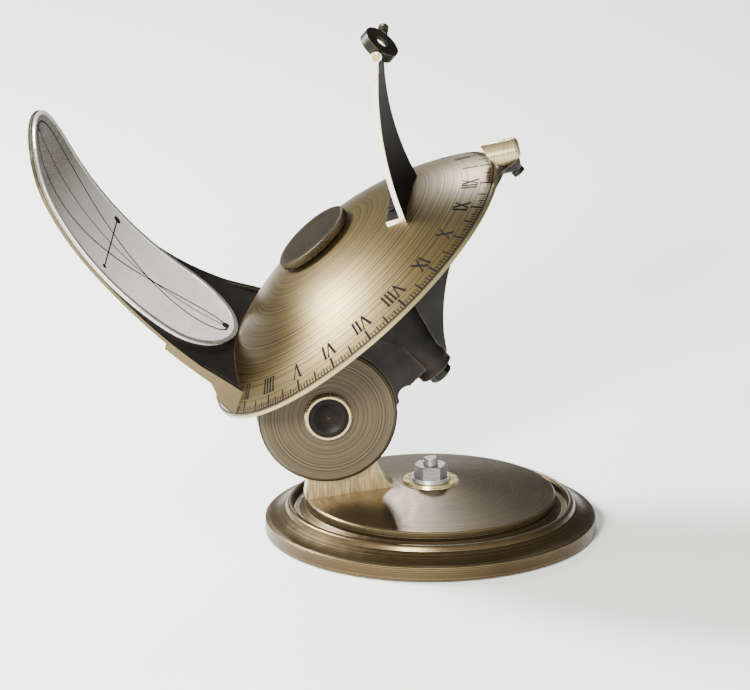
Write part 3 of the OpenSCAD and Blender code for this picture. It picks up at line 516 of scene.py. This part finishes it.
# Each letter as strokes (start, end, width), one unit high, and the places of its serifs
STEMS = {"I": [((0, 0), (0, 1), 0.17)],
         "V": [((-0.28, 1), (0, 0), 0.18), ((0, 0), (0.28, 1), 0.10)],
         "X": [((-0.27, 1), (0.27, 0), 0.18), ((-0.27, 0), (0.27, 1), 0.10)]}
FEET = {"I": [(0, 0), (0, 1)],
        "V": [(-0.28, 1), (0.28, 1)],
        "X": [(-0.27, 1), (0.27, 1), (-0.27, 0), (0.27, 0)]}
ADVANCE = {"I": 0.30, "V": 0.66, "X": 0.66}
SERIF_W, SERIF_T = 0.25, 0.05
ROMAN = ["I", "II", "III", "IIII", "V", "VI", "VII", "VIII", "IX", "X", "XI", "XII"]


def numeral(text):
    """The strokes of a Roman numeral as (start, end, width), one unit high and centred across."""
    place, strokes = 0, []
    for letter in text:
        middle = place + ADVANCE[letter] / 2
        strokes += [((middle + p[0], p[1]), (middle + q[0], q[1]), w) for p, q, w in STEMS[letter]]
        for x, y in FEET[letter]:
            level = abs(y - SERIF_T / 2)
            strokes.append(((middle + x - SERIF_W / 2, level), (middle + x + SERIF_W / 2, level), SERIF_T))
        place += ADVANCE[letter]
    return [((p[0] - place / 2, p[1]), (q[0] - place / 2, q[1]), w) for p, q, w in strokes]


HOUR_ARC = RIM_R * np.radians(15)


def hour_arc(hour):
    """Where an hour stands round the dial: XII lies straight ahead of lens and time plate."""
    return -RIM_R * HOUR_ANGLE - (12 - hour) * HOUR_ARC


# Sizes on the dial in mm; a numeral is set wider by as much as the dial is smaller there than at the rim
NUMERAL_H, NUMERAL_IN = 8.0, 8.3
NUMERAL_W = (RIM_R / (RIM_R - NUMERAL_IN)) * NUMERAL_H
# The hours under the feet of the plate's arm are left off
HIDDEN_HOURS = (2, 22)
strokes = []
for hour in [h for h in range(1, 25) if h not in HIDDEN_HOURS]:
    for p, q, w in numeral(ROMAN[(hour - 1) % 12]):
        # The top of a numeral points outwards, and its right hand side runs against the hours
        ends = [(hour_arc(hour) - x * NUMERAL_W, NUMERAL_IN + NUMERAL_H * (1 - y)) for x, y in (p, q)]
        strokes.append((*ends, w * NUMERAL_H))

# Every nth five minute stroke: its inner end and its width
TICK_FOOT = 1.3
TICKS = ((12, 7.4, 1.25), (6, 6.4, 1.0), (3, 4.6, 0.65), (1, 3.6, 0.55))
for step in range(24 * 12):
    reach, w = next((reach, w) for every, reach, w in TICKS if step % every == 0)
    strokes.append(((hour_arc(step / 12), TICK_FOOT), (hour_arc(step / 12), reach), w))

STROKE_STEPS = 4
share = np.linspace(0, 1, STROKE_STEPS)[:, None]
paths = np.array([np.array(p) * (1 - share) + np.array(q) * share for p, q, w in strokes])
widths = np.array([w for p, q, w in strokes])
# Strokes that would run under the arm's feet are dropped
ARM_FRONT, ARM_HALF_WIDTH = -56, 55.5
local = (dial_place(paths, 0) - CENTRE) / MM
under_arm = (local @ ahead < ARM_FRONT) & (np.abs(local @ sideways) < ARM_HALF_WIDTH)
clear = ~under_arm.any(axis=1)
engrave("hour_engraving", paths[clear], widths[clear], dial_place, "dial")

RING_IN, RING_STEPS = 1.2, 360
circle = np.linspace(0, 2 * np.pi * RIM_R, RING_STEPS, endpoint=False)
ring_path = np.stack([circle, np.full(RING_STEPS, RING_IN)], axis=-1)[None]
engrave("hour_ring", ring_path, 0.6, dial_place, "dial", closed=True)


# Dial knob: turned brass gone dark, with a milled edge of straight teeth 1.2 mm apart.
KNOB_LOW, KNOB_HIGH, KNOB_EDGE = 30.1 * MM, 34.5 * MM, 0.5 * MM
KNOB_R, TEETH, TOOTH_DEPTH = 21 * MM, 110, 0.6 * MM
# share of the radius, rise from the face, shift of the radius, share of the flute
KNOB_PROFILE = [(0.35, 0, 0, 0), (0.8, 0, 0, 0), (1, 0, -KNOB_EDGE - TOOTH_DEPTH, 0),
                (1, KNOB_EDGE, -TOOTH_DEPTH * 0.4, 0.6), (1, KNOB_EDGE * 1.5, 0, 1)]


def milled_knob(name, radius, low, high, teeth, tooth, profile, origin, axes):
    """A milled knob: between its chamfers the radius is R - tooth * (1 - |cos(teeth t / 2)|)."""
    angle = np.linspace(0, 2 * np.pi, teeth * 6, endpoint=False)
    flute = tooth * (1 - np.abs(np.cos(teeth * angle / 2)))
    lower = [(share * radius + shift, low + rise, cut) for share, rise, shift, cut in profile]
    upper = [(share * radius + shift, high - rise, cut) for share, rise, shift, cut in profile[::-1]]
    rings = np.array(lower + upper)
    radii = rings[:, :1] - rings[:, 2:] * flute
    heights = np.repeat(rings[:, 1:2], angle.size, axis=1)
    return round_piece(name, radii, heights, origin, axes)


knob_brass = turned("dark brass, turned", "#3d3424", "#1b1710", "#a08c60",
                    POLAR_AXIS, 1.3 * MM, 0.03 * MM, 0.36, wear=0.3 * MM)
dial_knob = milled_knob("milled_dial_knob", KNOB_R, KNOB_LOW, KNOB_HIGH, TEETH, TOOTH_DEPTH, KNOB_PROFILE,
                        CENTRE, DIAL_ROWS)
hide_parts("dial_knob")
join(dial_knob, knob_brass, "knob")


# Sight vane and plate arm: brass blackened against stray light, with their narrow edges left bright.
def blackened(name, edge_colour):
    """Blackened brass whose edge faces, the ones that look sideways, are polished."""
    material, tree = new_tree(name)
    aside = number(tree, "ABSOLUTE", dot(tree, coordinate(tree, "Normal"), tuple(sideways)))
    edge = spread(tree, aside, 0.6, 0.75)
    body = worn(tree, clouded(tree, 10 * MM, "#0f0d0b", "#191511"), "#8a7a55", 0.35 * MM)
    body = blend_colour(tree, edge, body, edge_colour)
    metal(tree, body, blend_value(tree, edge, 0.65, 0.3), patches(tree, 1.1 * MM, 2), 0.02 * MM, edge, 0.08)
    return material


dress(blackened("blackened brass, polished edges", "#ece3c6"), "sight_vane")
dress(blackened("blackened brass, filed edges", "#665b41"), "plate_arm")
small_brass = turned("brass screw", "#c8b683", "#8d7a4c", "#e8daae", POLAR_AXIS, 0.8 * MM, 0.01 * MM, 0.3)
dress(small_brass, "pivot_screw")
dress(black_steel, "vane_screws", "arm_screws")


# Lens ring, its retainer, knob and lens: a blackened cell that tips on the vane's pivots.
ring_black, tree = new_tree("blackened brass")
body = worn(tree, clouded(tree, 6 * MM, "#12100c", "#28231b"), "#7f7050", 0.35 * MM)
metal(tree, body, 0.4, patches(tree, 1.0 * MM, 2), 0.02 * MM, 0.5, 0.3)
dress(ring_black, "lens_ring", "lens_retainer", "ring_knob")

crown, tree = new_tree("crown glass, polished")
smear = spread(tree, patches(tree, 3 * MM), 0.4, 0.8, 0.0, 0.05)
shade(tree, {"Base Color": "#eef4f1", "Transmission Weight": 1.0, "IOR": 1.52, "Roughness": smear})
dress(crown, "lens")


# Time plate: silvered brass, brushed matt, with painted shade that darkens it towards its upper end in the
# brushed streaks, and a polished raised border. The figure of eight is the equation of time against the
# sun's height, so its spot of light falls on it at the day's place.
BRUSH_STROKES = (2200, 160, 2200)
plate_silver, tree = new_tree("silvered brass, brushed")
brushed = strokes_along(tree, local_place(tree, ((0, 0, 0), POLAR_TILT)), BRUSH_STROKES)
body = stained(tree, two_tone(tree, brushed, "#d9d5c8", "#f3f0e6"), "#b5ad97", 22 * MM, 0.5, 0.8, 0.3)
plate_low, plate_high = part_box("analemma_plate")
height = add(tree, "ShaderNodeSeparateXYZ", {0: coordinate(tree, "Object")}).outputs["Z"]
# Painted shade: the upper half of the plate is blended towards dark #2f2b22 in the brushed streaks
risen = spread(tree, height, plate_low[2] * 0.75 + plate_high[2] * 0.25,
               plate_low[2] * 0.25 + plate_high[2] * 0.75)
painted_shade = number(tree, "MULTIPLY", risen, spread(tree, brushed, 0.4, 0.6, 0.75, 0.95))
body = blend_colour(tree, painted_shade, body, "#2f2b22")
metal(tree, body, 0.55, brushed, 0.01 * MM, 0.2, 0.2)
dress(plate_silver, "analemma_plate")
border_silver = turned("silvered brass, polished", "#dedbd0", "#b9b5a8", "#f4f1e8",
                       POLAR_AXIS, 0.8 * MM, 0.01 * MM, 0.3)
dress(border_silver, "plate_frame")
dress(cap_brass, "plate_screws")

LENS_X, LENS_Z, PLATE_BEND = 97.0, 92.71, 179.0


def plate_place(points, height):
    """A point on the bent plate: a is the arc in mm up from the line level with the lens, b sideways."""
    a, b = points[..., 0], points[..., 1]
    radius = PLATE_BEND - height
    lift = a / PLATE_BEND
    x, z = LENS_X - radius * np.cos(lift), LENS_Z + radius * np.sin(lift)
    return CENTRE + (x[..., None] * ahead + b[..., None] * sideways + z[..., None] * n) * MM


YEAR_STEPS, MOST_DECLINATION, WIDENED = 240, np.radians(23.44), 1.7
day = np.linspace(0, 2 * np.pi, YEAR_STEPS, endpoint=False)
# minutes = 9.87 sin 2B - 7.53 cos B - 1.5 sin B and declination = 23.44 sin B, B counted from the equinox
minutes = 9.87 * np.sin(2 * day) - 7.53 * np.cos(day) - 1.5 * np.sin(day)
declination = MOST_DECLINATION * np.sin(day)
across_mm = PLATE_BEND * np.cos(declination) * np.radians(minutes / 4) * WIDENED
analemma = np.stack([-declination * PLATE_BEND, across_mm], axis=-1)[None]
engrave("analemma_line", analemma, 1.0, plate_place, "dial", closed=True)

LINE_STEPS, MIDDLE_HALF, EQUINOX_HALF = 40, 72, 25
line = np.linspace(-1, 1, LINE_STEPS)
level = np.zeros(LINE_STEPS)
middle_line = np.stack([line * MIDDLE_HALF, level], axis=-1)
equinox_line = np.stack([level, line * EQUINOX_HALF], axis=-1)
engrave("plate_lines", np.stack([middle_line, equinox_line]), (0.7, 0.8), plate_place, "dial")

# Each dot is a ring whose stroke just closes at its centre, the larger one on the far side
DOT_WIDTHS, DOT_SIDES, DOT_HOLE = (2.2, 1.3), 24, 0.05
around = np.linspace(0, 2 * np.pi, DOT_SIDES, endpoint=False)
circle = np.stack([np.cos(around), np.sin(around)], axis=-1)
rings = [circle * (width / 2 + DOT_HOLE) + (0, end * EQUINOX_HALF)
         for width, end in zip(DOT_WIDTHS, (1, -1))]
engrave("equinox_dots", np.stack(rings), DOT_WIDTHS, plate_place, "dial", closed=True)
